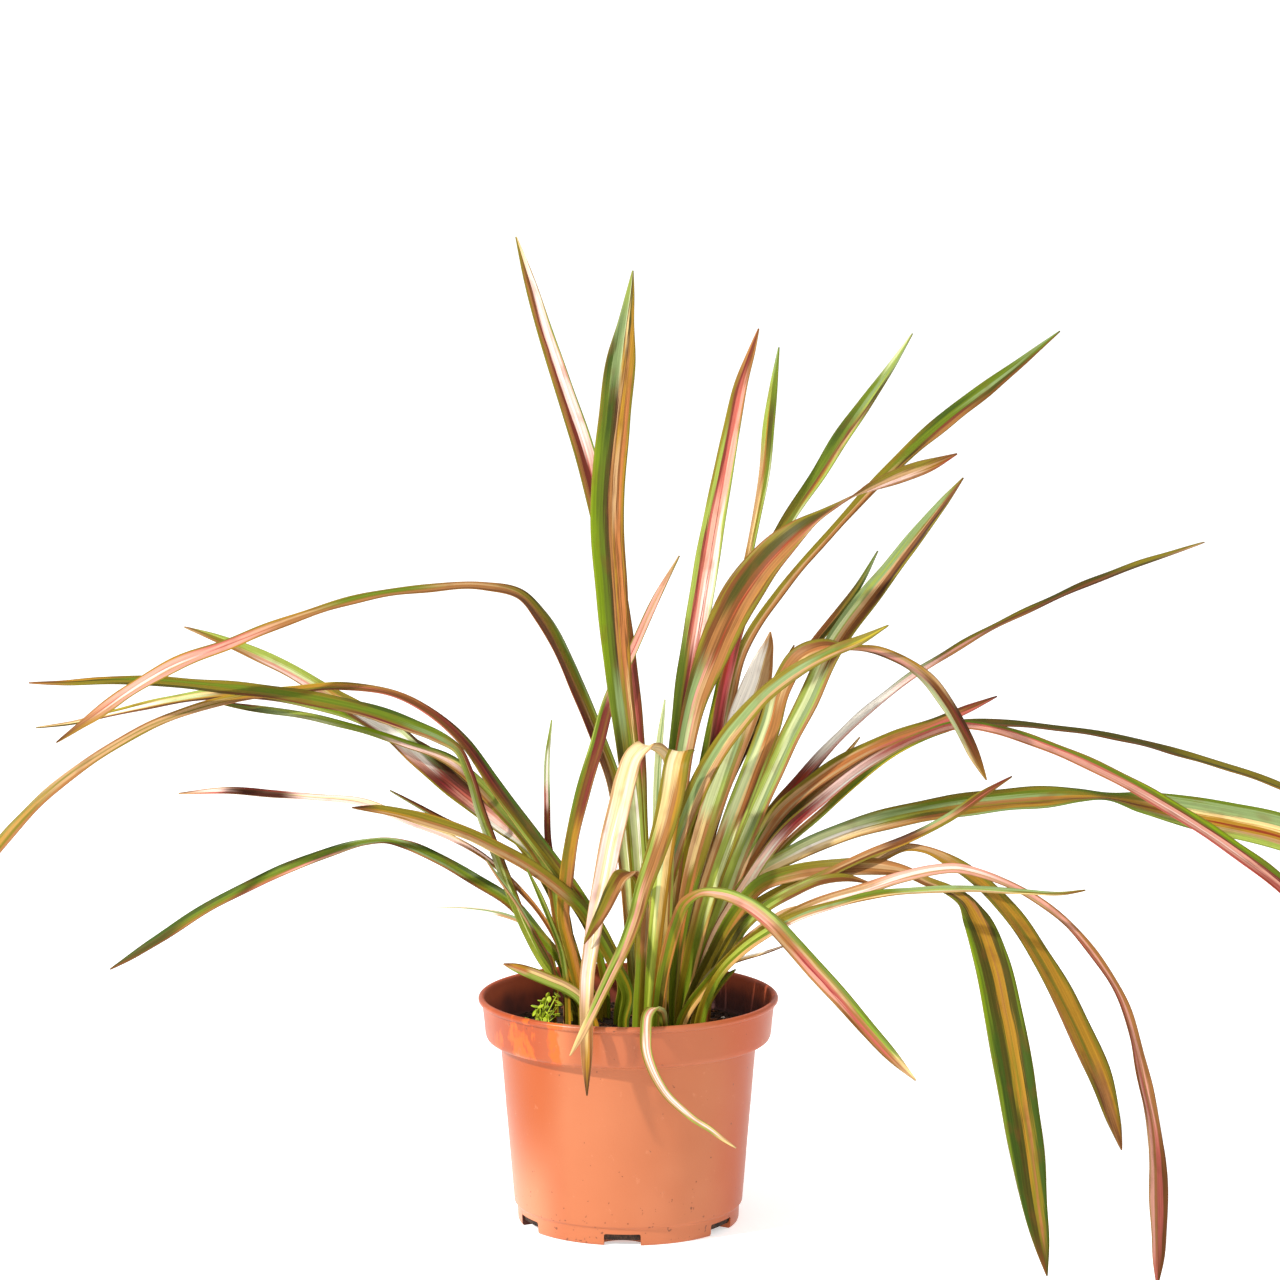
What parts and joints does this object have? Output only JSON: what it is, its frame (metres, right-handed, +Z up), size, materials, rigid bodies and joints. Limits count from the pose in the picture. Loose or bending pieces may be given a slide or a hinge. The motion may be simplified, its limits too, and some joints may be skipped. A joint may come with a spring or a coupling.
{
  "type": "potted plant",
  "caption": "Round tapered nursery pot of soil with a spreading tuft of arching strap leaves, striped bronze, green, pink and cream.",
  "frame": {"origin": "centre of the pot's underside, on the floor", "axes": "+Z up along the pot's axis; -Y towards the side the plant is looked at from; +X to that viewer's right"},
  "size_m": [0.9615, 0.4591, 0.6204],
  "materials": {
    "leaf_bronze": "satin, ribbed lengthwise",
    "leaf_cream": "satin, ribbed lengthwise",
    "leaf_crimson": "satin, ribbed lengthwise",
    "leaf_green": "satin, ribbed lengthwise",
    "leaf_maroon": "satin, ribbed lengthwise",
    "leaf_ochre": "satin, ribbed lengthwise",
    "leaf_olive": "satin, ribbed lengthwise",
    "leaf_pink": "satin, ribbed lengthwise",
    "leaf_straw": "satin, ribbed lengthwise",
    "pot_plastic": "satin moulded plastic, scuffed and water-marked",
    "peat": "crumbly potting compost",
    "seedling": "soft leaf",
    "bark": "bare twig"
  },
  "bodies": {
    "root": {"leaf_small_over_rim": "leaf_cream", "leaf_kinked_front_right": "leaf_pink", "leaf_folded_yellow": "leaf_ochre", "leaf_short_brown": "leaf_bronze", "leaf_straw_arch": "leaf_straw", "leaf_arching_green": "leaf_green", "leaf_broad_upright": "leaf_green", "leaf_pale_sliver": "leaf_green", "leaf_tall_left": "leaf_cream", "leaf_crimson_upright": "leaf_crimson", "leaf_long_arch_left": "leaf_bronze", "leaf_short_over_left_rim": "leaf_ochre", "leaf_thin_green_left": "leaf_green", "leaf_olive_left": "leaf_olive", "leaf_red_left": "leaf_maroon", "leaf_bent_green_left": "leaf_green", "leaf_light_green_left": "leaf_green", "leaf_withered_left": "leaf_straw", "leaf_purple_arch_left": "leaf_maroon", "leaf_grey_stem_left": "leaf_bronze", "leaf_channelled_left": "leaf_pink", "leaf_hanging_left": "leaf_green", "leaf_inner_dark_left": "leaf_olive", "leaf_pale_thread_left": "leaf_cream", "leaf_white_left": "leaf_cream", "leaf_upright_sliver_left": "leaf_maroon", "leaf_level_green_right": "leaf_green", "leaf_pink_hanging_right": "leaf_pink", "leaf_short_dark_right": "leaf_olive", "leaf_short_tan_right": "leaf_bronze", "leaf_withered_stalk_right": "leaf_straw", "leaf_short_green_right": "leaf_green", "leaf_short_olive_right": "leaf_olive", "leaf_brown_blade_right": "leaf_bronze", "leaf_broad_hanging_right": "leaf_green", "leaf_ochre_hanging_right": "leaf_ochre", "leaf_arch_over_right": "leaf_bronze", "leaf_pink_arch_right": "leaf_pink", "leaf_cream_striped": "leaf_cream", "leaf_broad_pale": "leaf_cream", "leaf_broad_green_right": "leaf_green", "leaf_thin_green_right": "leaf_green", "leaf_broad_bronze": "leaf_bronze", "leaf_bronze_right": "leaf_bronze", "leaf_thin_dark_right": "leaf_olive", "leaf_red_inner": "leaf_crimson", "leaf_far_thin_right": "leaf_maroon", "leaf_brown_sliver_right": "leaf_bronze", "leaf_slim_upright_right": "leaf_olive", "leaf_high_green_right": "leaf_green", "leaf_hidden_tip_upper": "leaf_olive", "leaf_dark_spear_right": "leaf_maroon", "leaf_hidden_tip_lower": "leaf_ochre", "pot": "pot_plastic", "soil": "peat", "seedling_tall": "seedling", "seedling_short": "seedling", "twig": "bark"}
  },
  "joints": []
}
